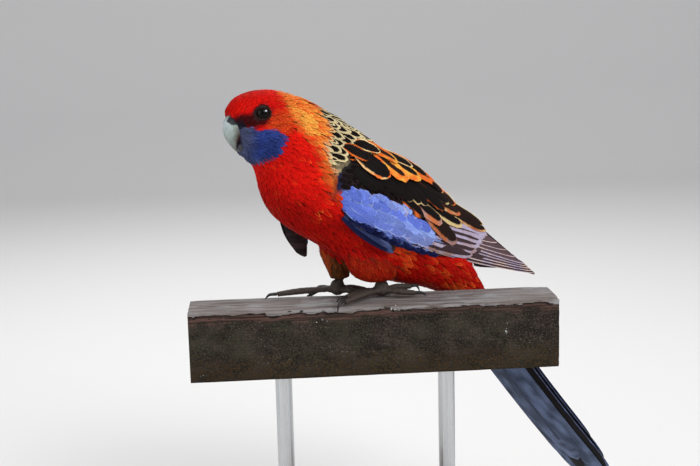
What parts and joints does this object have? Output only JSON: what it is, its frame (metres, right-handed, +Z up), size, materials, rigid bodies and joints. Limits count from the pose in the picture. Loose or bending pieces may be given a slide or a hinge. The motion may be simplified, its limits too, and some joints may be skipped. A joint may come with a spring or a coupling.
{
  "type": "crimson rosella parrot on a perch",
  "caption": "Life-size crimson rosella parrot perched on a short cut length of timber rail, its long tail hanging down behind, held on a flat display base by slim rods.",
  "frame": {"origin": "centre of the underside of the stand's base", "axes": "+Z up, +X along the perch towards the side where the tail hangs, -Y towards the side that the bird shows in the picture; the bird faces -X, turned 26 degrees towards -Y"},
  "size_m": [0.2832, 0.1354, 0.2921],
  "materials": {
    "head_feathers": "soft crimson feathers with a blue cheek",
    "neck_feathers": "orange and straw feathers with dark centres",
    "body_feathers": "soft red feathers",
    "rump_feathers": "soft red and orange feathers",
    "wing_coverts": "black coverts over violet-blue ones",
    "wing_quills": "stiff brown-black quills with pale edges",
    "tail_feathers": "stiff blue and black quills",
    "bill": "smooth grey horn",
    "eye": "wet and dark",
    "foot_skin": "dusky scaled skin",
    "claw": "dark horn",
    "perch_timber": "weathered sawn timber",
    "stand_base": "satin dark paint",
    "stand_rod": "brushed"
  },
  "bodies": {
    "root": {"bill_lower": "bill", "bill_upper": "bill", "claw_left_front_inner": "claw", "claw_left_front_outer": "claw", "claw_left_rear_inner": "claw", "claw_left_rear_outer": "claw", "claw_right_front_inner": "claw", "claw_right_front_outer": "claw", "claw_right_rear_inner": "claw", "claw_right_rear_outer": "claw", "eye_left": "eye", "eye_right": "eye", "foot_left": "foot_skin", "foot_right": "foot_skin", "head": "head_feathers", "neck": "neck_feathers", "perch_rail": "perch_timber", "rump": "rump_feathers", "shank_left": "foot_skin", "shank_right": "foot_skin", "stand_base": "stand_base", "stand_rod_1": "stand_rod", "stand_rod_2": "stand_rod", "tail_centre": "tail_feathers", "tail_left_inner": "tail_feathers", "tail_left_middle": "tail_feathers", "tail_left_outer": "tail_feathers", "tail_right_inner": "tail_feathers", "tail_right_middle": "tail_feathers", "tail_right_outer": "tail_feathers", "thigh_left": "rump_feathers", "thigh_right": "rump_feathers", "toe_left_front_inner": "foot_skin", "toe_left_front_outer": "foot_skin", "toe_left_rear_inner": "foot_skin", "toe_left_rear_outer": "foot_skin", "toe_right_front_inner": "foot_skin", "toe_right_front_outer": "foot_skin", "toe_right_rear_inner": "foot_skin", "toe_right_rear_outer": "foot_skin", "trunk": "body_feathers", "wing_left_alula": "wing_quills", "wing_left_coverts": "wing_coverts", "wing_left_primaries": "wing_quills", "wing_left_secondaries": "wing_quills", "wing_right_alula": "wing_quills", "wing_right_coverts": "wing_coverts", "wing_right_primaries": "wing_quills", "wing_right_secondaries": "wing_quills"}
  },
  "joints": []
}
